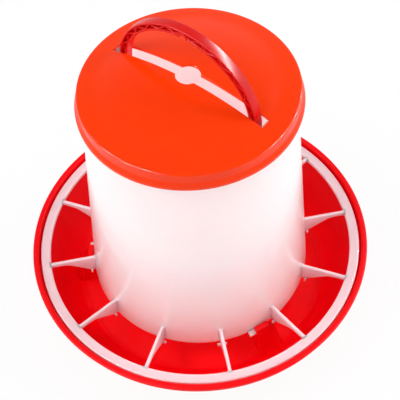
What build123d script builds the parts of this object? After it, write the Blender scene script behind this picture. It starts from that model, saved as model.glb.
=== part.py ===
from build123d import *
from math import atan2, cos, degrees, hypot, radians, sin, sqrt
import os

# A hanging or standing poultry feeder: feed tray, hopper with its guard, lid and carrying handle.
# The origin is the centre of the tray's foot on the ground, +Z is up, and the handle
# and the slot in the lid lie along X. Sizes are in millimetres and angles in degrees.

# Feed tray: a round trough with a flat rim and a cone in the middle
tray_radius = 134.5
tray_height = 44.0
tray_wall = 2.2
rim_width = 4.5
rim_step = 7.5
rim_round = 0.9
floor_outer_radius = 100.0
floor_inner_radius = 70.0
trough_round = 10.0
cone_rise = 52.0
cone_tip_radius = 10.0
cone_round = 8.0
foot_height = 2.0
foot_radius = 88.0
foot_width = 4.0

# Hopper: a slightly tapered tube, open at both ends
hopper_bottom_radius = 86.7
hopper_top_radius = 72.2
hopper_wall = 2.0
feed_gap = 20.0
hopper_height = 195.0

# Bayonet lock: tabs on the hopper's lower edge turn into grooved bosses in the tray
lock_count = 3
lock_angle = -25.4
tab_reach = 4.5
tab_height = 2.6
tab_arc = 4.8
tab_overlap_arc = 1.6
boss_arc = 11.0
boss_rise = 6.4
boss_top_depth = 4.2
boss_foot_depth = 15.0

# Waste guard: a ring inside the tray's rim, joined to the hopper by upright fins, each with a
# small cross rib at its foot
fin_count = 12
first_fin_angle = 17.0
fin_thickness = 2.3
fin_outer_depth = 4.0
fin_level_length = 10.5
fin_foot_length = 4.0
foot_rib_width = 7.2
foot_rib_thickness = 1.4
foot_rib_height = 2.4
guard_ring_width = 7.6
guard_ring_depth = 3.6
guard_drop = 2.5
ring_round = 0.8
ring_arc_count = 4
fin_slice_arc = 6.0

# Lid: a flat edge and a low dome, with a slot for the handle and a hole in the middle
lid_wall = 1.6
lid_overhang = 2.8
lid_lip_width = 2.2
lid_lip_height = 2.4
lid_flare_height = 3.0
lid_skirt = 12.3
lid_bead_height = 2.4
lid_bead_step = 0.4
lid_edge_round = 2.0
lid_edge_rise = 1.9
lid_edge_width = 13.0
dome_rise = 9.4
slot_length = 122.4
slot_width = 7.8
lid_hole_radius = 8.5

# Handle: an upright arch of I section, stiffened by zigzag ribs, on two studs
handle_radius = 56.2
handle_depth = 5.8
handle_width = 6.6
handle_flange = 1.4
handle_web = 1.6
rib_thickness = 1.0
rib_inset = 0.4
rib_pitch = 7.2
rib_count = 24
notch_radius = 2.5
notch_wall = 1.3
arch_above_lid = -4.7
pivot_below_lid = 14.5
leg_block = 8.0
stud_radius = 3.0
stud_head_radius = 3.6
stud_head_length = 1.6
stud_head_taper = 20.0

# Ears inside the hopper's top, which carry the studs
ear_width = 18.0
ear_height = 17.0
ear_plate = 2.5
ear_web = 2.0

# Clearances between pieces
seat_gap = 0.3
side_gap = 1.5
stud_gap = 0.08
boss_gap = 0.8
handle_side_gap = 0.5
turn_spare_arc = 0.6

# Levels and radii that follow from the sizes above
floor_z = foot_height + tray_wall
rim_inner_radius = tray_radius - rim_width
hopper_bottom_z = floor_z + feed_gap
hopper_top_z = hopper_bottom_z + hopper_height
lid_face_z = hopper_top_z + seat_gap + lid_wall
lid_bottom_z = lid_face_z - lid_skirt
lid_radius = hopper_top_radius + lid_overhang
dome_radius = lid_radius - lid_edge_width
taper = (hopper_bottom_radius - hopper_top_radius) / hopper_height
arch_z = lid_face_z + arch_above_lid
pivot_z = lid_face_z - pivot_below_lid
handle_inner_radius = handle_radius - handle_depth
tab_z = hopper_bottom_z
groove_low_z = tab_z - seat_gap
groove_high_z = tab_z + tab_height + seat_gap
boss_top_z = hopper_bottom_z + boss_rise
guard_top_z = tray_height - guard_drop
guard_outer_radius = rim_inner_radius - side_gap
guard_inner_radius = guard_outer_radius - guard_ring_width
unlock_turn = tab_overlap_arc + turn_spare_arc
fin_foot_radius = hopper_bottom_radius + fin_foot_length
foot_rib_arc = degrees(atan2(foot_rib_width / 2, fin_foot_radius - foot_rib_thickness))
fin_beside_lock = first_fin_angle - 360 / fin_count
boss_high_arc = fin_beside_lock - foot_rib_arc - unlock_turn - turn_spare_arc - lock_angle


def hopper_radius(z):
    """Outer radius of the tapered hopper at height z."""
    return hopper_bottom_radius - taper * (z - hopper_bottom_z)


def radial_plane(angle):
    """Upright plane through the centre line, with its X pointing outwards at the angle."""
    a = radians(angle)
    return Plane(origin=(0, 0, 0), x_dir=(cos(a), sin(a), 0), z_dir=(sin(a), -cos(a), 0))


def save(piece, name):
    """Label a finished piece and write its file."""
    piece.label = name
    export_step(piece, f"parts/{name}.step")


os.makedirs("parts", exist_ok=True)
lock_angles = [lock_angle + 360 / lock_count * i for i in range(lock_count)]
fin_angles = [first_fin_angle + 360 / fin_count * i for i in range(fin_count)]
ring_joints = [
    first_fin_angle + 360 / fin_count * (fin_count * i // ring_arc_count - 0.5)
    for i in range(ring_arc_count + 1)
]

# The tray's wall is one line from the edge of the rim to the top of the cone, given its thickness
with BuildPart() as feed_tray:
    with BuildSketch(Plane.XZ) as tray_section:
        with BuildLine():
            Polyline(
                (tray_radius, tray_height),
                (rim_inner_radius, tray_height),
                (rim_inner_radius, tray_height - rim_step),
                (floor_outer_radius, floor_z),
                (floor_inner_radius, floor_z),
                (cone_tip_radius, floor_z + cone_rise),
                (0, floor_z + cone_rise),
            )
            offset(amount=tray_wall, side=Side.LEFT)
        make_face()
        corners = tray_section.vertices()
        fillet(corners.sort_by_distance((tray_radius, tray_height))[0], rim_round)
        fillet(corners.sort_by_distance((tray_radius, tray_height - tray_wall))[0], rim_round)
        fillet(corners.sort_by_distance((rim_inner_radius, tray_height))[0], rim_round)
        fillet(corners.sort_by_distance((floor_outer_radius, floor_z))[0], trough_round)
        fillet(corners.sort_by_distance((floor_inner_radius, floor_z))[0], trough_round)
        fillet(corners.sort_by_distance((cone_tip_radius, floor_z + cone_rise))[0], cone_round)
    revolve(axis=Axis.Z)
    with BuildSketch(Plane.XY):
        Circle(foot_radius + foot_width / 2)
        Circle(foot_radius - foot_width / 2, mode=Mode.SUBTRACT)
    extrude(amount=floor_z - tray_wall / 2)
    # Each boss stands on the trough's floor just outside the hopper and slopes down outwards;
    # its far end is a lower shoulder that leaves room for the fin beside it when the hopper turns
    boss_inner = hopper_bottom_radius + boss_gap
    for angle in lock_angles:
        for start, arc, top in (
            (angle, boss_high_arc, boss_top_z),
            (angle + boss_high_arc, boss_arc - boss_high_arc, groove_low_z),
        ):
            with BuildSketch(radial_plane(start)):
                with BuildLine():
                    Polyline(
                        (boss_inner, floor_z - tray_wall / 2),
                        (boss_inner, top),
                        (boss_inner + boss_top_depth, top),
                        (boss_inner + boss_foot_depth, floor_z + tray_wall),
                        (boss_inner + boss_foot_depth, floor_z - tray_wall / 2),
                        close=True,
                    )
                make_face()
            revolve(axis=Axis.Z, revolution_arc=arc)
        # The groove takes the hopper's tab, and its floor carries the hopper
        with BuildSketch(radial_plane(angle)):
            with BuildLine():
                Polyline(
                    (hopper_bottom_radius, groove_low_z),
                    (hopper_bottom_radius + tab_reach + seat_gap, groove_low_z),
                    (hopper_bottom_radius + tab_reach + seat_gap, groove_high_z),
                    (hopper_bottom_radius, groove_high_z),
                    close=True,
                )
            make_face()
        revolve(
            axis=Axis.Z,
            revolution_arc=tab_overlap_arc + turn_spare_arc / 2,
            mode=Mode.SUBTRACT,
        )
save(feed_tray.part, "feed_tray")

# The hopper's tube, with the tabs of the lock at its foot and the handle's ears at its top
ear_inner = handle_radius + handle_side_gap
ear_corner = hopper_radius(pivot_z) - hopper_wall / 3
ear_outer = sqrt(ear_corner**2 - (ear_width / 2) ** 2)
with BuildPart() as hopper:
    with BuildSketch(Plane.XZ):
        with BuildLine():
            Polyline(
                (hopper_bottom_radius - hopper_wall, hopper_bottom_z),
                (hopper_bottom_radius, hopper_bottom_z),
                (hopper_top_radius, hopper_top_z),
                (hopper_top_radius - hopper_wall, hopper_top_z),
                close=True,
            )
        make_face()
    revolve(axis=Axis.Z)
    for angle in lock_angles:
        with BuildSketch(radial_plane(angle + tab_overlap_arc - tab_arc)):
            with BuildLine():
                Polyline(
                    (hopper_bottom_radius - hopper_wall / 2, tab_z),
                    (hopper_bottom_radius + tab_reach, tab_z),
                    (hopper_bottom_radius + tab_reach, tab_z + tab_height),
                    (hopper_bottom_radius - hopper_wall / 2, tab_z + tab_height),
                    close=True,
                )
            make_face()
        revolve(axis=Axis.Z, revolution_arc=tab_arc)
    # An ear is an upright plate beside the handle's leg, held off the wall by two webs
    with BuildSketch(Plane.XY.offset(pivot_z - ear_height / 2)):
        for side in (-1, 1):
            with Locations((side * (ear_inner + ear_outer) / 2, 0)):
                Rectangle(ear_outer - ear_inner, ear_width)
            with Locations((side * (ear_inner + ear_plate + ear_outer) / 2, 0)):
                Rectangle(
                    ear_outer - ear_inner - ear_plate,
                    ear_width - 2 * ear_web,
                    mode=Mode.SUBTRACT,
                )
    extrude(amount=ear_height)
    with BuildSketch(Plane.YZ):
        with Locations((0, pivot_z)):
            Circle(stud_radius + stud_gap)
    extrude(amount=ear_inner + ear_plate + stud_gap, both=True, mode=Mode.SUBTRACT)
save(hopper.part, "hopper")

# The guard's ring lies just inside the tray's rim, in arcs that meet midway between two fins
for index, (start, end) in enumerate(zip(ring_joints, ring_joints[1:])):
    with BuildPart() as ring_arc:
        with BuildSketch(radial_plane(start)) as ring_section:
            with Locations((guard_inner_radius, guard_top_z)):
                Rectangle(guard_ring_width, guard_ring_depth, align=(Align.MIN, Align.MAX))
            fillet(ring_section.vertices().group_by(Axis.Y)[-1], ring_round)
        revolve(axis=Axis.Z, revolution_arc=end - start)
    save(ring_arc.part, f"guard_ring_{index + 1}")

# The fins share the feeding places out; each has a level top and widens towards the hopper
for index, angle in enumerate(fin_angles):
    with BuildPart() as fin:
        with BuildSketch(radial_plane(angle - fin_slice_arc / 2)):
            with BuildLine():
                Polyline(
                    (fin_foot_radius, hopper_bottom_z),
                    (hopper_bottom_radius, hopper_bottom_z),
                    (hopper_radius(guard_top_z), guard_top_z),
                    (guard_inner_radius, guard_top_z),
                    (guard_inner_radius, guard_top_z - fin_outer_depth),
                    (guard_inner_radius - fin_level_length, guard_top_z - fin_outer_depth),
                )
                Spline(
                    (guard_inner_radius - fin_level_length, guard_top_z - fin_outer_depth),
                    (fin_foot_radius, hopper_bottom_z),
                    tangents=[(-1, 0), (-1, -0.5)],
                )
            make_face()
        revolve(axis=Axis.Z, revolution_arc=fin_slice_arc)
        with BuildSketch(Plane.XY):
            with Locations(Location((0, 0, 0), (0, 0, angle))):
                with Locations((guard_inner_radius / 2, 0)):
                    Rectangle(guard_inner_radius + tray_wall, fin_thickness)
        extrude(amount=guard_top_z, mode=Mode.INTERSECT)
        with BuildSketch(Plane.XY.offset(hopper_bottom_z)):
            with PolarLocations(fin_foot_radius, 1, start_angle=angle):
                Rectangle(foot_rib_thickness, foot_rib_width, align=(Align.MAX, Align.CENTER))
        extrude(amount=foot_rib_height)
    save(fin.part, f"fin_{index + 1:02d}")

lid_inner_radius = hopper_radius(lid_bottom_z) + seat_gap
dome_z = lid_face_z + lid_edge_rise

# The lid's section runs from the middle of the dome to the lip and back along its inside
with BuildPart() as lid:
    with BuildSketch(Plane.XZ) as lid_section:
        with BuildLine():
            TangentArc((0, dome_z + dome_rise), (dome_radius, dome_z), tangent=(1, 0))
            Polyline(
                (dome_radius, dome_z),
                (lid_radius, lid_face_z),
                (lid_radius, lid_face_z - lid_bead_height),
                (lid_radius - lid_bead_step, lid_face_z - lid_bead_height - lid_bead_step),
                (lid_radius, lid_bottom_z + lid_lip_height + lid_flare_height),
                (lid_radius + lid_lip_width, lid_bottom_z + lid_lip_height),
                (lid_radius + lid_lip_width, lid_bottom_z),
                (lid_inner_radius + lid_lip_width, lid_bottom_z),
                (lid_inner_radius + lid_lip_width, lid_bottom_z + lid_lip_height / 2),
                (lid_inner_radius, lid_bottom_z + lid_lip_height / 2 + lid_flare_height),
                (lid_inner_radius, lid_face_z - lid_wall),
                (dome_radius, dome_z - lid_wall),
            )
            TangentArc(
                (0, dome_z + dome_rise - lid_wall),
                (dome_radius, dome_z - lid_wall),
                tangent=(1, 0),
            )
            Line((0, dome_z + dome_rise - lid_wall), (0, dome_z + dome_rise))
        make_face()
        corners = lid_section.vertices()
        fillet(corners.sort_by_distance((lid_radius, lid_face_z))[0], lid_edge_round)
        # The hole in the middle is left out of the section
        with Locations((0, lid_face_z)):
            Rectangle(2 * lid_hole_radius, 4 * dome_rise, mode=Mode.SUBTRACT)
    revolve(axis=Axis.Z)
    with BuildSketch(Plane.XY.offset(lid_bottom_z)):
        Rectangle(slot_length, slot_width)
    extrude(amount=lid_skirt + lid_edge_rise + dome_rise, mode=Mode.SUBTRACT)
save(lid.part, "lid")

# The handle: two flanges and a web swept round the arch and down both legs
web_outer = handle_radius - handle_flange
web_inner = handle_inner_radius + handle_flange
with BuildPart() as handle:
    for outer, inner, width in (
        (handle_radius, web_outer, handle_width),
        (web_outer, web_inner, handle_web),
        (web_inner, handle_inner_radius, handle_width),
    ):
        with BuildSketch(Plane.XZ):
            with Locations((0, arch_z)):
                Circle(outer)
                Circle(inner, mode=Mode.SUBTRACT)
            with Locations((0, arch_z)):
                Rectangle(2 * outer, outer, align=(Align.CENTER, Align.MAX), mode=Mode.SUBTRACT)
            with Locations((-(outer + inner) / 2, arch_z), ((outer + inner) / 2, arch_z)):
                Rectangle(outer - inner, arch_z - pivot_z, align=(Align.CENTER, Align.MAX))
        extrude(amount=width / 2, both=True)
    # Zigzag ribs stiffen both sides of the web, counted from the right around the top of the arch
    with BuildSketch(Plane.XZ):
        first_rib = (180 - rib_count * rib_pitch) / 2
        for step in range(rib_count):
            low = first_rib + rib_pitch * step
            ends = (web_inner, web_outer) if step % 2 else (web_outer, web_inner)
            start = (ends[0] * cos(radians(low)), arch_z + ends[0] * sin(radians(low)))
            high = low + rib_pitch
            end = (ends[1] * cos(radians(high)), arch_z + ends[1] * sin(radians(high)))
            slope = degrees(atan2(end[1] - start[1], end[0] - start[0]))
            with Locations(Location(((start[0] + end[0]) / 2, (start[1] + end[1]) / 2), slope)):
                Rectangle(hypot(end[0] - start[0], end[1] - start[1]), rib_thickness)
    extrude(amount=handle_width / 2 - rib_inset, both=True)
    # The hanging notch is a small collar with a half round dent under the middle of the arch
    with BuildSketch(Plane.XZ):
        with Locations((0, arch_z + handle_inner_radius)):
            Circle(notch_radius + notch_wall)
        with Locations((0, arch_z + handle_inner_radius)):
            Rectangle(handle_radius, handle_depth, align=(Align.CENTER, Align.MAX), mode=Mode.SUBTRACT)
    extrude(amount=handle_width / 2, both=True)
    with BuildSketch(Plane.XZ):
        with Locations((0, arch_z + handle_inner_radius)):
            Circle(notch_radius)
    extrude(amount=handle_width, both=True, mode=Mode.SUBTRACT)
    # Solid leg ends carry the studs that turn in the ears
    with BuildSketch(Plane.XZ):
        leg_middle = (handle_radius + handle_inner_radius) / 2
        with Locations((-leg_middle, pivot_z), (leg_middle, pivot_z)):
            SlotOverall(leg_block + handle_depth, handle_depth, rotation=90)
    extrude(amount=handle_width / 2, both=True)
    for side in (-1, 1):
        with BuildSketch(Plane.YZ.offset(side * (handle_radius - handle_flange / 2))):
            with Locations((0, pivot_z)):
                Circle(stud_radius)
        extrude(amount=side * (handle_flange / 2 + handle_side_gap + ear_plate + seat_gap))
        with BuildSketch(Plane.YZ.offset(side * (ear_inner + ear_plate + seat_gap))):
            with Locations((0, pivot_z)):
                Circle(stud_head_radius)
        extrude(amount=side * stud_head_length, taper=stud_head_taper)
save(handle.part, "handle")
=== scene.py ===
import math

import bmesh
import bpy
import numpy as np
from mathutils import Matrix


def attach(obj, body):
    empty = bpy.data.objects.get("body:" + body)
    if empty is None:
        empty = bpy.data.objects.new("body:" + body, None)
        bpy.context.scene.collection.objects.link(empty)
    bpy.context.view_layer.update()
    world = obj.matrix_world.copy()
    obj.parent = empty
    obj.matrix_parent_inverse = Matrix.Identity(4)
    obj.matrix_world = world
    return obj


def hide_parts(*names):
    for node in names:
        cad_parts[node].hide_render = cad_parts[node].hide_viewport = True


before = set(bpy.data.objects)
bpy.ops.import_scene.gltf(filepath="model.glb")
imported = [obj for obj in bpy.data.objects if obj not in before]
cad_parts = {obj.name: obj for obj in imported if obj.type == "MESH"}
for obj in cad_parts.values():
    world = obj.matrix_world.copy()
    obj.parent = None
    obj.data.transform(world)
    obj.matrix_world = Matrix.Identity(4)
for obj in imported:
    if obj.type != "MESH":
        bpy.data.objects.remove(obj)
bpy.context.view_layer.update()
mm = 0.001
mergeWithin = 0.0005  # millimetres between points that count as one
bevelFrom = 35.0  # degrees between two faces from which a bevel rounds their edge
print("frame loaded")


# Helpers. A shape is a pair: points in millimetres, in the frame of the part, and a list of face arrays.

# rounded line through corners (x, y, arc radius): each arc starts at radius / tan(half the angle) from its corner,
# and the angle is the one between the corner's two sides. A nearly straight corner stays, and an arc takes less
# than half of a side.
def roundedLoop(corners, steps=7, closed=True):
    pts = []
    count = len(corners)
    for i, (x, y, radius) in enumerate(corners):
        p = np.array([x, y], float)
        if radius <= 0 or (not closed and i in (0, count - 1)):
            pts.append(p[None])
            continue
        a = np.array(corners[i - 1][:2], float) - p
        b = np.array(corners[(i + 1) % count][:2], float) - p
        la, lb = np.linalg.norm(a), np.linalg.norm(b)
        a, b = a / la, b / lb
        half = math.acos(max(-1.0, min(1.0, float(a @ b)))) / 2
        if half > math.pi / 2 - 0.01:
            pts.append(p[None])
            continue
        cut = min(radius / math.tan(half), 0.49 * la, 0.49 * lb)
        r = cut * math.tan(half)
        centre = p + (a + b) / np.linalg.norm(a + b) * r / math.sin(half)
        start, end = p + a * cut - centre, p + b * cut - centre
        sweep = math.pi - 2 * half
        t = np.linspace(0, 1, steps + 1)[:, None]
        pts.append(centre + (np.sin((1 - t) * sweep) * start + np.sin(t * sweep) * end) / math.sin(sweep))
    return np.vstack(pts)


# rounded rectangle: corner centres set in by the edge radius, plus that radius * (cos, sin) round each corner
def boxSection(x0, x1, y0, y1, edge, steps=4):
    quarter = np.linspace(0, math.pi / 2, steps + 1)
    a = np.concatenate([quarter + k * math.pi / 2 for k in range(4)])
    right = np.repeat([True, False, False, True], steps + 1)
    top = np.repeat([True, True, False, False], steps + 1)
    x0, x1, y0, y1 = (np.asarray(v, float)[..., None] for v in (x0, x1, y0, y1))
    x = np.where(right, x1 - edge, x0 + edge) + edge * np.cos(a)
    y = np.where(top, y1 - edge, y0 + edge) + edge * np.sin(a)
    return x, y


# quads between neighbouring points of a grid; a wrapped direction joins its end to its start
def gridFaces(rows, cols, wrapRows=False, wrapCols=True):
    down, along = np.arange(rows if wrapRows else rows - 1), np.arange(cols if wrapCols else cols - 1)
    i, k = np.meshgrid(down, along, indexing="ij")
    j, m = (i + 1) % rows, (k + 1) % cols
    return np.stack([i * cols + k, i * cols + m, j * cols + m, j * cols + k], -1).reshape(-1, 4)


# tube through a row of closed sections, points (rows, cols, 3), with flat ends unless the rows wrap round
def tube(sections, wrap=False):
    rows, cols, _ = sections.shape
    faces = [gridFaces(rows, cols, wrap)]
    if not wrap:
        faces.append(np.array([np.arange(cols)[::-1], (rows - 1) * cols + np.arange(cols)]))
    return sections.reshape(-1, 3), faces


# turning about Z: x = r cos(a), y = r sin(a), z = z, with a from start over the arc in degrees
def turned(line, segments=192, start=0.0, arc=360.0, closed=True):
    line = np.asarray(line, float)
    full = arc >= 360
    a = np.radians(start + arc * np.arange(segments if full else segments + 1) / segments)[:, None]
    z = np.broadcast_to(line[:, 1], (len(a), len(line)))
    pts = np.stack([np.cos(a) * line[:, 0], np.sin(a) * line[:, 0], z], -1)
    if closed:
        return tube(pts, full)
    return pts.reshape(-1, 3), [gridFaces(len(a), len(line), full, False)]


# several shapes in one: each face index grows by the number of points before it
def joined(shapes):
    pts, faces, base = [], [], 0
    for p, f in shapes:
        pts.append(p)
        faces += [rows + base for rows in f]
        base += len(p)
    return np.vstack(pts), faces


# mesh = points * mm, doubles merged and normals outwards, smooth but for edges over the sharp angle in degrees; a
# bevel in millimetres rounds the edges of plain boxes
def addPiece(name, shape, material, body, replaced=(), sharp=38.0, bevel=0.0):
    pts, faces = shape
    me = bpy.data.meshes.new(name)
    me.from_pydata((pts * mm).tolist(), [], [face for rows in faces for face in rows.tolist()])
    bm = bmesh.new()
    bm.from_mesh(me)
    bmesh.ops.remove_doubles(bm, verts=bm.verts, dist=mergeWithin * mm)
    bmesh.ops.recalc_face_normals(bm, faces=bm.faces)
    bm.to_mesh(me)
    bm.free()
    me.polygons.foreach_set("use_smooth", np.ones(len(me.polygons), bool))
    me.set_sharp_from_angle(angle=math.radians(sharp))
    me.materials.append(material)
    ob = bpy.data.objects.new(name, me)
    bpy.context.scene.collection.objects.link(ob)
    if bevel > 0:
        mod = ob.modifiers.new("edges", "BEVEL")
        mod.width = bevel * mm
        mod.segments = 3
        mod.limit_method = "ANGLE"
        mod.angle_limit = math.radians(bevelFrom)
        mod.harden_normals = True
    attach(ob, body)
    if replaced:
        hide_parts(*replaced)


# Materials

# sRGB to linear: c / 12.92 below 0.04045, else ((c + 0.055) / 1.055) ^ 2.4
def linear(hexText):
    c = np.array([int(hexText[i:i + 2], 16) for i in (0, 2, 4)]) / 255
    return (*np.where(c <= 0.04045, c / 12.92, ((c + 0.055) / 1.055) ** 2.4), 1.0)


# one node: a setting is a property of the node or else the value of an input, a link is an input's source
def addNode(tree, kind, settings=(), links=()):
    node = tree.nodes.new(kind)
    for key, value in dict(settings).items():
        if hasattr(node, key):
            setattr(node, key, value)
        else:
            node.inputs[key].default_value = value
    for key, source in dict(links).items():
        tree.links.new(source, node.inputs[key])
    return node


# The skin of all the plastics: how strong its waves are, its grain in millimetres, drawn as coarse as it needs to
# show, and between which values most of the noise lies
skin = {"waveStrength": 0.12, "grainSize": 0.6, "grainHeight": 0.01, "noiseLow": 0.3, "noiseHigh": 0.7}


# moulded plastic: colour = mix of two close shades by a cloudy noise, roughness = middle -+ drift by the same noise,
# and bumps of shallow waves with fine grain on them
def plastic(name, s):
    mat = bpy.data.materials.new(name)
    mat.use_nodes = True
    tree = mat.node_tree
    shader = tree.nodes["Principled BSDF"]
    shader.inputs["IOR"].default_value = s["ior"]
    shader.inputs["Specular IOR Level"].default_value = s["specular"]
    shader.inputs["Coat Weight"].default_value = s["coat"]
    shader.inputs["Coat Roughness"].default_value = s["coatRoughness"]
    shader.inputs["Coat IOR"].default_value = s["coatIor"]
    shader.inputs["Subsurface Weight"].default_value = s["subsurface"]
    shader.inputs["Subsurface Radius"].default_value = s["scatter"]
    shader.inputs["Subsurface Scale"].default_value = s["depth"] * mm
    place = addNode(tree, "ShaderNodeTexCoord").outputs["Object"]
    cloud = addNode(tree, "ShaderNodeTexNoise", {"Scale": 1 / (s["cloud"] * mm), "Detail": 2.0}, {"Vector": place})
    tint = addNode(tree, "ShaderNodeMix", {"data_type": "RGBA"}, {"Factor": cloud.outputs["Fac"]})
    tint.inputs[6].default_value = linear(s["colour"])
    tint.inputs[7].default_value = linear(s["shade"])
    tree.links.new(tint.outputs[2], shader.inputs["Base Color"])
    spread = addNode(tree, "ShaderNodeMapRange", {
        "From Min": skin["noiseLow"], "From Max": skin["noiseHigh"], "To Min": s["roughness"] - s["drift"],
        "To Max": s["roughness"] + s["drift"]}, {"Value": cloud.outputs["Fac"]})
    tree.links.new(spread.outputs["Result"], shader.inputs["Roughness"])
    swell = addNode(tree, "ShaderNodeTexNoise", {"Scale": 1 / (s["swell"] * mm), "Detail": 1.0}, {"Vector": place})
    wave = addNode(tree, "ShaderNodeBump", {"Strength": skin["waveStrength"], "Distance": s["wave"] * mm},
                   {"Height": swell.outputs["Fac"]})
    speck = addNode(tree, "ShaderNodeTexNoise", {"Scale": 1 / (skin["grainSize"] * mm), "Detail": 1.0},
                    {"Vector": place})
    grain = addNode(tree, "ShaderNodeBump", {"Strength": s["grain"], "Distance": skin["grainHeight"] * mm},
                    {"Height": speck.outputs["Fac"], "Normal": wave.outputs["Normal"]})
    tree.links.new(grain.outputs["Normal"], shader.inputs["Normal"])
    return mat


# Coloured polypropylene, moulded: it lets no light through and has no coat. Cloud, swell, wave and depth are in
# millimetres.
opaque = {"ior": 1.49, "coat": 0.0, "coatRoughness": 0.1, "coatIor": 1.5, "subsurface": 0.0, "scatter": (1, 0.1, 0.1),
          "depth": 1.0}
# The tray's, bright red: deep colour under a soft gloss
redPlastic = plastic("polypropylene_red", {
    **opaque, "colour": "ff000d", "shade": "f2000a", "roughness": 0.36, "drift": 0.03, "specular": 0.08,
    "cloud": 22.0, "swell": 30.0, "wave": 0.25, "grain": 0.1})
# The lid's, orange red: glossier, so that its edge catches a thin line of light
lidPlastic = plastic("polypropylene_orange_red", {
    **opaque, "colour": "fd3e06", "shade": "f83906", "roughness": 0.1, "drift": 0.02, "specular": 0.24,
    "cloud": 25.0, "swell": 32.0, "wave": 0.2, "grain": 0.08})
# The handle's, a deeper red: a broader gleam than the lid's
handlePlastic = plastic("polypropylene_deep_red", {
    **opaque, "colour": "e40c0a", "shade": "d20606", "roughness": 0.3, "drift": 0.03, "specular": 0.3,
    "cloud": 9.0, "swell": 12.0, "wave": 0.1, "grain": 0.1})
# Natural polyethylene of the hopper: milky all through, passes light on, and mirrors what stands beside it. The thin
# ring and fins pass it less deep; their pink colour is painted glow of the tray's red light, added to what they pass.
milk = {
    "colour": "f1f0f3", "shade": "eeecf0", "roughness": 0.42, "drift": 0.03, "specular": 0.3, "ior": 1.51,
    "coat": 1.0, "coatRoughness": 0.16, "coatIor": 1.6, "subsurface": 1.0, "scatter": (1.0, 1.0, 1.0), "depth": 8.0,
    "cloud": 30.0, "swell": 40.0, "wave": 0.2, "grain": 0.05}
milkPlastic = plastic("polyethylene_natural", milk)
# the guard's pink colour and shade are painted light: a painted red glow from the tray, not the plastic's own colour
guardPlastic = plastic("polyethylene_natural_guard_painted_red_glow", {
    **milk, "colour": "f4d8dc", "shade": "f0d1d6", "depth": 3.0, "coat": 0.4})
print("materials ready")


# Feed tray: the open profile runs from the cone's tip over the trough and rim and back underneath

tray = {
    "radius": 134.5, "height": 44.0, "wall": 2.2, "rimWidth": 4.5, "rimStep": 7.5, "floor": 4.2,
    "floorOuter": 100.0, "floorInner": 70.0, "coneTop": 56.2, "coneTip": 10.0, "foot": 88.0, "footWidth": 4.0,
}


# the tray's profile as corners (radius, height, arc radius): cone, trough, wall and rim, then back underneath a
# wall's width lower, with the foot; the small steps on the way keep a sloping wall's thickness
def trayLine(s):
    r, h, w, f = s["radius"], s["height"], s["wall"], s["floor"]
    inner = r - s["rimWidth"]
    a, b = s["foot"] - s["footWidth"] / 2, s["foot"] + s["footWidth"] / 2
    return roundedLoop([
        (0, s["coneTop"], 0), (s["coneTip"], s["coneTop"], 8.0), (s["floorInner"], f, 10.0),
        (s["floorOuter"], f, 10.0), (inner, h - s["rimStep"], 1.6), (inner, h, 0.9), (r, h, 0.9), (r, h - w, 0.9),
        (inner + w, h - w, 0.8), (inner + w, h - s["rimStep"] - 1.2, 1.4), (s["floorOuter"] + 1.1, f - w, 12.0),
        (b, f - w, 0.5), (b, 0, 0.6), (a, 0, 0.6), (a, f - w, 0.5), (s["floorInner"] - 1.0, f - w, 8.0),
        (s["coneTip"] - 1.0, s["coneTop"] - w, 6.0), (0, s["coneTop"] - w, 0)], closed=False)


boss = {
    "inner": 87.5, "topDepth": 4.2, "footDepth": 15.0, "top": 30.6, "shoulder": 23.9, "base": 3.0, "start": -25.4,
    "highArc": 7.29, "arc": 11.0, "grooveReach": 91.5, "grooveLow": 23.9, "grooveHigh": 27.1, "grooveArc": 1.9,
    "toe": 6.4, "count": 3,
}


# a lock boss: the stretch with the groove, then the plain stretch, then the low shoulder, each section turned over
# its own arc
def bossShape(s, turn):
    i, t, f = s["inner"], s["inner"] + s["topDepth"], s["inner"] + s["footDepth"]
    base, toe, a = s["base"], s["toe"], s["start"] + turn
    groove = [(i, s["grooveLow"], 0.2), (s["grooveReach"], s["grooveLow"], 0.2),
              (s["grooveReach"], s["grooveHigh"], 0.2), (i, s["grooveHigh"], 0.2)]

    def outline(extra, top):
        return roundedLoop([(i, base, 0), *extra, (i, top, 0.8), (t, top, 1.4), (f, toe, 1.0), (f, base, 0)], 4)

    return joined([
        turned(outline(groove, s["top"]), 4, a, s["grooveArc"]),
        turned(outline([], s["top"]), 8, a + s["grooveArc"], s["highArc"] - s["grooveArc"]),
        turned(outline([], s["shoulder"]), 6, a + s["highArc"], s["arc"] - s["highArc"])])


bosses = [bossShape(boss, 360 / boss["count"] * k) for k in range(boss["count"])]
addPiece("tray_moulding", joined([turned(trayLine(tray), 240, closed=False)] + bosses), redPlastic, "tray",
         ("feed_tray",))
print("tray ready")


# Hopper: tapered tube with its tabs and ears

hopper = {
    "bottom": 24.2, "top": 219.2, "bottomRadius": 86.7, "topRadius": 72.2, "wall": 2.0,
    "tabReach": 4.5, "tabRoot": 1.2, "tabHeight": 2.6, "tabStart": -28.6, "tabArc": 4.8, "tabCount": 3,
    "earInner": 56.7, "earOuter": 71.9, "earWidth": 18.0, "earHeight": 17.0, "earPlate": 2.5, "earWeb": 2.0,
    "pivot": 206.6, "studHole": 3.08,
}


# outer radius at height z: r = bottom radius - (bottom radius - top radius) * (z - bottom) / height
def hopperRadius(z, s=hopper):
    return s["bottomRadius"] - (s["bottomRadius"] - s["topRadius"]) * (z - s["bottom"]) / (s["top"] - s["bottom"])


# the wall's section: outer face on the taper, inner face a wall's width inside it, all four edges rounded
def hopperLine(s):
    w = s["wall"]
    return roundedLoop([(s["bottomRadius"] - w, s["bottom"], 0.7), (s["bottomRadius"], s["bottom"], 0.7),
                        (s["topRadius"], s["top"], 0.8), (s["topRadius"] - w, s["top"], 0.8)], 5)


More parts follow.
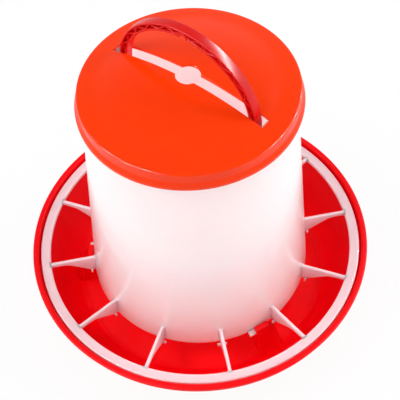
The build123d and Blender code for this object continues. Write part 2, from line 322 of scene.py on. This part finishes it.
# plain box between x0..x1, y0..y1, z0..z1, as a tube of two square sections
def boxShape(x0, x1, y0, y1, z0, z1):
    square = np.array([(y0, z0), (y1, z0), (y1, z1), (y0, z1)], float)
    return tube(np.stack([np.column_stack([np.full(4, x), square]) for x in (x0, x1)]))


# upright plate across X with a round hole: the outline point at angle a lies at the smaller of
# half width / |cos a| and half height / |sin a|
def holedPlate(x0, x1, width, height, middle, radius, count=48):
    a = np.arange(count) * 2 * math.pi / count
    c, s = np.cos(a), np.sin(a)
    reach = np.minimum(width / 2 / np.maximum(abs(c), 1e-9), height / 2 / np.maximum(abs(s), 1e-9))
    rows = [np.column_stack([np.full(count, x), c * r, middle + s * r])
            for x, r in ((x0, reach), (x0, radius), (x1, radius), (x1, reach))]
    return tube(np.stack(rows), True)


# on each side a plate with the stud's hole, and two webs from it to the wall at the plate's ends
def earShapes(s):
    low, high = s["pivot"] - s["earHeight"] / 2, s["pivot"] + s["earHeight"] / 2
    plate = s["earInner"] + s["earPlate"]
    out = []
    for side in (-1, 1):
        out.append(holedPlate(side * s["earInner"], side * plate, s["earWidth"], s["earHeight"], s["pivot"],
                              s["studHole"]))
        for y in (-s["earWidth"] / 2, s["earWidth"] / 2 - s["earWeb"]):
            out.append(boxShape(side * plate, side * s["earOuter"], y, y + s["earWeb"], low, high))
    return out


# tabs of the lock: a rounded section that starts inside the wall, turned over the tab's arc
def tabShapes(s):
    r, z, reach, h = s["bottomRadius"], s["bottom"], s["tabReach"], s["tabHeight"]
    root = r - s["tabRoot"]
    line = roundedLoop([(root, z, 0), (r + reach, z, 0.5), (r + reach, z + h, 0.7), (root, z + h, 0)], 3)
    return [turned(line, 5, s["tabStart"] + 360 / s["tabCount"] * k, s["tabArc"]) for k in range(s["tabCount"])]


# Waste guard: ring and fins of the same moulding. A fin runs from its root inside the wall to its end inside the
# ring, with sections near each other at both, and the between ones from a radius to a radius by their number.

guard = {
    "top": 41.5, "outer": 128.5, "inner": 120.9, "depth": 3.6, "ringRound": 1.2, "arcs": 4, "count": 12,
    "first": 17.0, "finThick": 2.3, "finLow": 37.5, "slope": 0.72, "slopeRadius": 91.0, "slopeHeight": 25.2,
    "fillet": 0.9, "lowBend": 2.0, "highBend": 1.0, "finRound": 0.55, "root": 1.6, "end": 1.0, "nearFrom": 0.9,
    "near": (0, 0.2, 0.5, 0.9, 1.4), "between": (88.5, 119, 26), "ribRadius": 90.7, "ribThick": 1.4,
    "ribWidth": 7.2, "ribHeight": 2.4, "ribRound": 0.4,
}


# underside of a fin: a straight slope, held under the outer level and over the hopper's edge by
# soft minimum and maximum, (a + b -+ sqrt((a - b)^2 + k^2)) / 2
def finBottom(r, s):
    z = s["slopeHeight"] + s["slope"] * (r - s["slopeRadius"])
    z = (z + s["finLow"] - np.sqrt((z - s["finLow"]) ** 2 + s["lowBend"] ** 2)) / 2
    return (z + hopper["bottom"] + np.sqrt((z - hopper["bottom"]) ** 2 + s["highBend"] ** 2)) / 2


# half thickness: t / 2 + f - sqrt(f^2 - (f - d)^2) within the fillet f of the wall or the ring
def finHalf(r, z, s):
    f = s["fillet"]
    d = np.clip(np.minimum(r - hopperRadius(z), s["inner"] - r), 0, f)
    return s["finThick"] / 2 + f - np.sqrt(np.maximum(f ** 2 - (f - d) ** 2, 0))


# a fin as rounded sections along the radius, with the cross rib at its foot, turned about Z by its angle a to
# (x cos a - y sin a, x sin a + y cos a)
def finShape(s, angle):
    near = np.array(s["near"])
    wall, foot = hopper["bottomRadius"], hopper["bottom"]
    r = np.concatenate([[wall - s["root"]], wall - s["nearFrom"] + near, np.linspace(*s["between"]),
                        s["inner"] - near[::-1], [s["inner"] + s["end"]]])
    low = finBottom(r, s)
    half = finHalf(r, (low + s["top"]) / 2, s)
    across, z = boxSection(-half, half, low, np.full_like(r, s["top"]), s["finRound"])
    fin = tube(np.stack([np.broadcast_to(r[:, None], across.shape), across, z], -1))
    ribX = s["ribRadius"] - s["ribThick"], s["ribRadius"]
    y, z = boxSection(-s["ribWidth"] / 2, s["ribWidth"] / 2, foot, foot + s["ribHeight"], s["ribRound"])
    rib = tube(np.stack([np.column_stack([np.full(len(y), x), y, z]) for x in ribX]))
    pts, faces = joined([fin, rib])
    c, n = math.cos(math.radians(angle)), math.sin(math.radians(angle))
    return np.column_stack([c * pts[:, 0] - n * pts[:, 1], n * pts[:, 0] + c * pts[:, 1], pts[:, 2]]), faces


# the ring's section: a box with soft upper edges
def ringLine(s):
    return roundedLoop([(s["inner"], s["top"] - s["depth"], 0.6), (s["outer"], s["top"] - s["depth"], 0.6),
                        (s["outer"], s["top"], s["ringRound"]), (s["inner"], s["top"], s["ringRound"])], 6)


ringNames = ["guard_ring_%d" % (k + 1) for k in range(guard["arcs"])]
finNames = ["fin_%02d" % (k + 1) for k in range(guard["count"])]
fins = [finShape(guard, guard["first"] + 360 / guard["count"] * k) for k in range(guard["count"])]
addPiece("hopper_tube", joined([turned(hopperLine(hopper), 256)] + tabShapes(hopper)), milkPlastic,
         "hopper", ("hopper",))
addPiece("hopper_ears", joined(earShapes(hopper)), milkPlastic, "hopper", bevel=0.35)
addPiece("waste_guard", joined([turned(ringLine(guard), 256)] + fins), guardPlastic,
         "hopper", ringNames + finNames)
print("hopper ready")


# Lid: the grid runs from the slot's outline over the dome to a circle, then down the edge and skirt and back inside

lid = {
    "face": 221.1, "wall": 1.6, "radius": 75.0, "bead": 2.4, "beadStep": 0.4, "edgeRound": 2.0, "edgeRise": 1.9,
    "lipWidth": 2.2, "lipHeight": 2.4, "flare": 3.0, "bottom": 208.8, "inner": 73.27, "dome": 62.0, "rise": 9.4,
    "bend": 3.0, "gridEnd": 69.0, "slotLength": 122.4, "slotWidth": 7.8, "hole": 8.5, "slotEdge": 0.5,
    "lipRound": 0.5, "snap": 0.013,
}


# height over the face's edge: inside the dome sqrt(R^2 - r^2) - (R - h) with R = (a^2 + h^2) / 2h, outside it a
# slope down to the edge; the bend between them is the mean over a few millimetres on both sides
def domeHeight(r, s):
    a, h = s["dome"], s["rise"]
    big = (a ** 2 + h ** 2) / (2 * h)
    q = np.abs(np.asarray(r, float)[..., None] + np.linspace(-s["bend"], s["bend"], 13))
    inside = np.sqrt(np.maximum(big ** 2 - np.minimum(q, a) ** 2, 0)) - (big - h) + s["edgeRise"]
    outside = s["edgeRise"] * (s["radius"] - q) / (s["radius"] - a)
    return np.where(q < a, inside, outside).mean(-1)


# slot outline by angle t: at the end y = R sin(t), along the sides x = half cos(t) / cos(corner), and round the hole
# x^2 + y^2 = hole^2. The point nearest to where hole and side meet, within snap * half, moves there.
def slotOutline(s, grow):
    half, wide, hole = s["slotLength"] / 2 + grow, s["slotWidth"] / 2 + grow, s["hole"] + grow
    outer = s["gridEnd"]
    corner = math.asin(wide / outer)
    meet = math.sqrt(hole ** 2 - wide ** 2)
    t = np.concatenate([np.linspace(0, corner, 4)[:-1], np.linspace(corner, math.pi / 2, 61)])
    x = np.where(t < corner, half, half * np.cos(t) / math.cos(corner))
    x = np.where(np.abs(x - meet) < half * s["snap"], meet, x)
    y = np.where(x < meet - 1e-6, np.sqrt(np.maximum(hole ** 2 - x ** 2, 0)), wide)
    y = np.where(t < corner, outer * np.sin(t), y)
    right = np.column_stack([t, x, y])
    left = np.column_stack([math.pi - t, -x, y])[::-1][1:]
    upper = np.vstack([right, left])
    lower = np.column_stack([upper[:, 0] + math.pi, -upper[:, 1:]])
    return np.vstack([upper, lower[1:-1]])


# the lid as one closed grid: a row of the dome lies at slot * (1 - u) + circle * u, at the dome's height there
def lidShape(s):
    base = slotOutline(s, 0.0)
    t = base[:, 0]
    circle = np.column_stack([np.cos(t), np.sin(t)])
    e, w, low = s["slotEdge"], s["wall"], s["bottom"]

    def onDome(xy, drop):
        return np.column_stack([xy, s["face"] - drop + domeHeight(np.hypot(*xy.T), s)])

    # the slot's rounded upper edge, then the dome outwards
    a = np.linspace(0, math.pi / 2, 6)
    rows = [onDome(base[:, 1:], w - e)]
    rows += [onDome(slotOutline(s, e * (1 - math.cos(v)))[:, 1:], e * (1 - math.sin(v))) for v in a]
    start, end = slotOutline(s, e)[:, 1:], circle * s["gridEnd"]
    rows += [onDome(start * (1 - u) + end * u, 0.0) for u in 0.5 - 0.5 * np.cos(np.linspace(0.15, 1, 18) * math.pi)]
    # the face's edge, bead, skirt and lip, and the inside up to the dome again
    out, step = s["gridEnd"] + 1, s["face"] - s["bead"]
    r, inner, lip, lipTop = s["radius"], s["inner"], s["lipWidth"], low + s["lipHeight"]
    rise = float(domeHeight(out, s))
    skirt = roundedLoop([
        (out, s["face"] + rise, 0), (r, s["face"], s["edgeRound"]), (r, step, 0.35),
        (r - s["beadStep"], step - s["beadStep"], 0.5), (r + 0.1, lipTop + s["flare"], 1.6), (r + lip, lipTop, 0.5),
        (r + lip, low, s["lipRound"]), (inner + lip, low, s["lipRound"]), (inner + lip, low + 1.0, 0.5),
        (inner, low + 1.0 + s["flare"], 1.5), (inner, s["face"] - w, 0.8), (out, s["face"] - w + rise, 0)],
        7, closed=False)
    rows += [np.column_stack([circle * x, np.full(len(t), z)]) for x, z in skirt]
    rows += [onDome(base[:, 1:] * (1 - u) + end * u, w) for u in (1.0, 0.9, 0.75, 0.55, 0.35, 0.15, 0.0)]
    return tube(np.stack(rows), True)


addPiece("lid_moulding", lidShape(lid), lidPlastic, "lid", ("lid",), sharp=30)
print("lid ready")


# Handle: an arch of I section with zigzag ribs, a hanging notch and a stud on each leg. The sinks are how far web
# and inner flange run into the notch's collar, and the ribs into the flanges.

handle = {
    "radius": 56.2, "depth": 5.8, "width": 6.6, "flange": 1.4, "web": 1.6, "arch": 216.4, "pivot": 206.6,
    "rib": 1.0, "ribInset": 0.4, "pitch": 7.2, "ribs": 24, "notch": 2.5, "notchWall": 1.3, "block": 8.0,
    "stud": 3.0, "studReach": 59.5, "head": 3.6, "headLength": 1.6, "webSink": 0.5, "flangeSink": 0.4,
    "ribSink": 0.3,
}


# middle line by the distance d from its top: (m cos a, arch + m sin a) with a = 90 degrees - d / m, and from there
# straight down
def archPath(d, s):
    m = s["radius"] - s["depth"] / 2
    quarter = m * math.pi / 2
    a = math.pi / 2 - np.clip(d, -quarter, quarter) / m
    out = np.stack([np.cos(a), np.sin(a)], -1)
    middle = out * m + (0, s["arch"])
    middle[:, 1] -= np.maximum(np.abs(d) - quarter, 0)
    return middle, out


# strip along the middle line whose rounded section lies between two offsets from it
def archStrip(s, d, low, high, width, edge=0.35):
    middle, out = archPath(d, s)
    side = np.full_like(d, width / 2)
    off, y = boxSection(low + 0 * d, high + 0 * d, -side, side, edge, 3)
    return tube(np.stack([middle[:, :1] + out[:, :1] * off, y, middle[:, 1:] + out[:, 1:] * off], -1))


# studs and their heads, turned about X: y = r cos(a), z = pivot + r sin(a)
def studShape(s, side, count=40):
    reach, head = s["studReach"], s["head"]
    line = np.array([(s["radius"] - 1.0, s["stud"]), (reach, s["stud"]), (reach + 0.05, head - 0.2),
                     (reach + 0.3, head), (reach + s["headLength"], head - 0.6)])
    a = np.arange(count) * 2 * math.pi / count
    x = np.broadcast_to(side * line[:, :1], (len(line), count))
    return tube(np.stack([x, line[:, 1:] * np.cos(a), s["pivot"] + line[:, 1:] * np.sin(a)], -1))


# leg end: a slot outline, half circles r (cos a, sin a) set up and down from the pivot, eased in at both faces; the
# angles start just past 0, so that none lies between the halves
def legEnd(s, side, count=28):
    r = s["depth"] / 2
    a = np.linspace(0, 2 * math.pi, count, endpoint=False) + 0.001
    shift = np.where(np.sin(a) > 0, s["block"] / 2, -s["block"] / 2)
    w = s["width"] / 2
    rows = []
    for y, ease in ((-w, 0.4), (-w + 0.12, 0.12), (-w + 0.4, 0.0), (w - 0.4, 0.0), (w - 0.12, 0.12), (w, 0.4)):
        k = 1 - ease / r
        rows.append(np.column_stack([side * (s["radius"] - r) + k * r * np.cos(a), np.full(count, y),
                                     s["pivot"] + k * (r * np.sin(a) + shift)]))
    return tube(np.stack(rows))


# the whole handle: web between two flanges along the middle line, the inner flange open at the notch, then the
# notch's collar, the zigzag ribs, the leg ends and the studs
def handleShape(s):
    half = s["depth"] / 2
    middle = s["radius"] - half
    reach = middle * math.pi / 2 + s["arch"] - s["pivot"]
    collar = s["notch"] + s["notchWall"]
    w = s["width"] / 2
    # the web's lower edge rises over the notch: offset = -half + sqrt((collar - sink)^2 - d^2) there
    d = np.linspace(-reach, reach, 241)
    over = (collar - s["webSink"]) ** 2 - d ** 2
    webLow = np.maximum(-half + s["flange"] / 2, np.where(over > 0, -half + np.sqrt(np.maximum(over, 0)), -half))
    parts = [
        archStrip(s, np.linspace(-reach, reach, 161), half - s["flange"], half, s["width"]),
        archStrip(s, d, webLow, half - s["flange"] / 2, s["web"], 0.05),
        archStrip(s, np.linspace(-reach, s["flangeSink"] - collar, 81), -half, s["flange"] - half, s["width"]),
        archStrip(s, np.linspace(collar - s["flangeSink"], reach, 81), -half, s["flange"] - half, s["width"])]
    # the notch's collar is a half ring: (r cos a, z0 + r sin a) about the middle of the arch's underside
    a = np.linspace(0, math.pi, 25)
    one = np.ones_like(a)
    r, y = boxSection(one * s["notch"], one * collar, -one * w, one * w, 0.35, 3)
    low = s["arch"] + middle - half
    parts.append(tube(np.stack([r * np.cos(a)[:, None], y, low + r * np.sin(a)[:, None]], -1)))
    # zigzag ribs run from flange to flange
    ends = s["radius"] - s["flange"] + s["ribSink"], s["radius"] - s["depth"] + s["flange"] - s["ribSink"]
    off, y = boxSection(-s["rib"] / 2, s["rib"] / 2, s["ribInset"] - w, w - s["ribInset"], 0.3, 3)
    for k in range(s["ribs"]):
        a = np.radians(90 + s["pitch"] * (k - s["ribs"] / 2 + np.arange(2)))
        r = np.array(ends if k % 2 == 0 else ends[::-1])
        p = np.column_stack([r * np.cos(a), s["arch"] + r * np.sin(a)])
        along = (p[1] - p[0]) / np.linalg.norm(p[1] - p[0])
        rib = [np.column_stack([e[0] - along[1] * off, y, e[1] + along[0] * off]) for e in p]
        parts.append(tube(np.stack(rib)))
    return joined(parts + [legEnd(s, side) for side in (-1, 1)] + [studShape(s, side) for side in (-1, 1)])


addPiece("handle_moulding", handleShape(handle), handlePlastic, "handle", ("handle",))
print("handle ready")


# Stage: white floor, lamps, world and camera

# The floor's size and the height that the lamps aim at are in metres. paper is the floor's own white, floorShare how
# much of it shows as pure white, and world the strength of the even light. What the gloss mirrors is a wall up to one
# height of its ray and a ceiling from another.
stage = {
    "floorSize": 6.0, "paper": 0.9, "floorShare": 0.93, "world": 0.66, "wall": 0.65, "ceiling": 0.1,
    "wallEnds": 0.3, "ceilingStarts": 0.85, "lampAim": 0.13,
}


# glossy ray, and the largest of camera, glossy and transmission ray, which is 1 for what is seen directly or
# mirrored and 0 for what only lights
def seenDirectly(tree):
    path = addNode(tree, "ShaderNodeLightPath").outputs
    most = {"operation": "MAXIMUM"}
    shine = addNode(tree, "ShaderNodeMath", most, {0: path["Is Glossy Ray"], 1: path["Is Transmission Ray"]})
    both = addNode(tree, "ShaderNodeMath", most, {0: path["Is Camera Ray"], 1: shine.outputs[0]})
    return path["Is Glossy Ray"], both.outputs[0]


# white paper: mix of pure white by its share and of lit paper, so that only part of the object's shadow is seen
def makeFloor(s):
    half = s["floorSize"] / 2
    me = bpy.data.meshes.new("floor")
    me.from_pydata([(-half, -half, 0), (half, -half, 0), (half, half, 0), (-half, half, 0)], [], [(0, 1, 2, 3)])
    mat = bpy.data.materials.new("white_paper")
    mat.use_nodes = True
    tree = mat.node_tree
    shader = tree.nodes["Principled BSDF"]
    shader.inputs["Base Color"].default_value = (s["paper"], s["paper"], s["paper"], 1)
    shader.inputs["Roughness"].default_value = 1.0
    shader.inputs["Specular IOR Level"].default_value = 0.0
    glow = addNode(tree, "ShaderNodeEmission", {"Color": (1, 1, 1, 1), "Strength": 1.0})
    share = addNode(tree, "ShaderNodeMath", {"operation": "MULTIPLY"}, {0: seenDirectly(tree)[1]})
    share.inputs[1].default_value = s["floorShare"]
    mix = addNode(tree, "ShaderNodeMixShader", {}, {0: share.outputs[0], 1: shader.outputs[0], 2: glow.outputs[0]})
    tree.links.new(mix.outputs[0], tree.nodes["Material Output"].inputs["Surface"])
    me.materials.append(mat)
    ob = bpy.data.objects.new("floor", me)
    bpy.context.scene.collection.objects.link(ob)


# even light from all round; seen directly it is pure white, and mirrored it falls by a smooth step from the pale wall
# to the dark ceiling as the ray points higher
def makeWorld(s):
    world = bpy.data.worlds.new("studio")
    bpy.context.scene.world = world
    world.use_nodes = True
    tree = world.node_tree
    glossy, direct = seenDirectly(tree)
    way = addNode(tree, "ShaderNodeTexCoord")
    parts = addNode(tree, "ShaderNodeSeparateXYZ", {}, {0: way.outputs["Generated"]})
    high = addNode(tree, "ShaderNodeMapRange", {
        "interpolation_type": "SMOOTHSTEP", "From Min": s["wallEnds"], "From Max": s["ceilingStarts"],
        "To Min": s["wall"], "To Max": s["ceiling"]}, {"Value": parts.outputs["Z"]})
    mirrored = addNode(tree, "ShaderNodeMix", {}, {"Factor": glossy, "B": high.outputs["Result"]})
    mirrored.inputs["A"].default_value = 1.0
    level = addNode(tree, "ShaderNodeMix", {}, {"Factor": direct, "B": mirrored.outputs["Result"]})
    level.inputs["A"].default_value = s["world"]
    back = tree.nodes["Background"]
    back.inputs["Color"].default_value = (1, 1, 1, 1)
    tree.links.new(level.outputs["Result"], back.inputs["Strength"])


# matrix whose columns are right, up and back: back points from the target to the place, right = Z x back
def placed(ob, right, up, back, place):
    m = Matrix.Identity(4)
    for i in range(3):
        m[i][0], m[i][1], m[i][2], m[i][3] = right[i], up[i], back[i], place[i]
    ob.matrix_world = m
    bpy.context.scene.collection.objects.link(ob)


# soft box at bearing b and elevation e in degrees: place = aim + distance * (cos e cos b, cos e sin b, sin e); a
# shine box shows only as a gleam, and a plain one only lights
def addLamp(name, bearing, elevation, distance, width, height, watts, shine=False):
    b, e = math.radians(bearing), math.radians(elevation)
    back = np.array([math.cos(e) * math.cos(b), math.cos(e) * math.sin(b), math.sin(e)])
    right = np.cross((0, 0, 1), back)
    right /= np.linalg.norm(right)
    data = bpy.data.lights.new(name, "AREA")
    data.shape = "RECTANGLE"
    data.size, data.size_y = width, height
    data.energy = watts
    ob = bpy.data.objects.new(name, data)
    ob.visible_glossy, ob.visible_diffuse = shine, not shine
    placed(ob, right, np.cross(back, right), back, back * distance + (0, 0, stage["lampAim"]))


# weak round lamp on the centre line inside the hopper, for the light that its milky wall lets in; low down it is
# pink, as the red cone throws it back
def addInsideLamp(name, height, size, watts, pale=1.0):
    data = bpy.data.lights.new(name, "POINT")
    data.shadow_soft_size = size
    data.energy = watts
    data.color = (1.0, pale, pale)
    ob = bpy.data.objects.new(name, data)
    ob.visible_camera = ob.visible_glossy = False
    placed(ob, (1, 0, 0), (0, 1, 0), (0, 0, 1), (0, 0, height))


# The photograph's camera, in degrees and millimetres, but for clipEnd in metres: its elevation above the horizon, its
# turn about Z, its distance from a point at the aim's height, then small yaw, pitch and roll
shot = {"elevation": 53.063, "turn": 39.54, "distance": 722.39, "aim": 111.5, "yaw": 0.1939, "pitch": -0.8747,
        "roll": -4.024, "lens": 86.48, "sensor": 36.0, "clipEnd": 20.0}


# place = aim + distance * back; look = -back + tan(yaw) right + tan(pitch) up; right and up then turn by the roll
def makeCamera(s):
    e, t, r = math.radians(s["elevation"]), math.radians(s["turn"]), math.radians(s["roll"])
    back = np.array([math.cos(e) * math.sin(t), -math.cos(e) * math.cos(t), math.sin(e)])
    place = back * s["distance"] + (0, 0, s["aim"])
    right = np.array([math.cos(t), math.sin(t), 0.0])
    up = np.cross(right, -back)
    look = -back + math.tan(math.radians(s["yaw"])) * right + math.tan(math.radians(s["pitch"])) * up
    look /= np.linalg.norm(look)
    right = np.cross(look, up)
    right /= np.linalg.norm(right)
    up = np.cross(right, look)
    right, up = math.cos(r) * right + math.sin(r) * up, math.cos(r) * up - math.sin(r) * right
    data = bpy.data.cameras.new("camera")
    data.lens = s["lens"]
    data.sensor_width = s["sensor"]
    data.clip_end = s["clipEnd"]
    ob = bpy.data.objects.new("camera", data)
    placed(ob, right, up, -look, place * mm)
    bpy.context.scene.camera = ob


# Bearing and elevation in degrees, distance, width and height in metres, watts. The strips only shine, and the lid's
# edge catches them as a thin line.
softBoxes = {
    "left": (237, 56, 1.7, 0.7, 0.7, 6.5),
    "right": (48, 44, 1.7, 0.7, 0.7, 6.5),
    "front": (-50, 12, 2.0, 1.1, 1.1, 3),
    "left_side": (-145, 10, 1.9, 1.0, 1.0, 9),
    "right_side": (45, 10, 1.9, 1.0, 1.0, 9),
    "left_strip": (234, 56, 1.7, 1.7, 0.04, 80, True),
    "right_strip": (50, 44, 1.7, 1.7, 0.04, 80, True),
}
# Height and size in metres, watts, and how pale the lower one's pink is
insideLamps = {"inside_high": (0.175, 0.02, 0.08), "inside_low": (0.055, 0.012, 0.15, 0.75)}

makeFloor(stage)
makeWorld(stage)
for name, values in softBoxes.items():
    addLamp(name, *values)
for name, values in insideLamps.items():
    addInsideLamp(name, *values)
makeCamera(shot)
bpy.context.scene.view_settings.view_transform = "Standard"
print("stage ready")
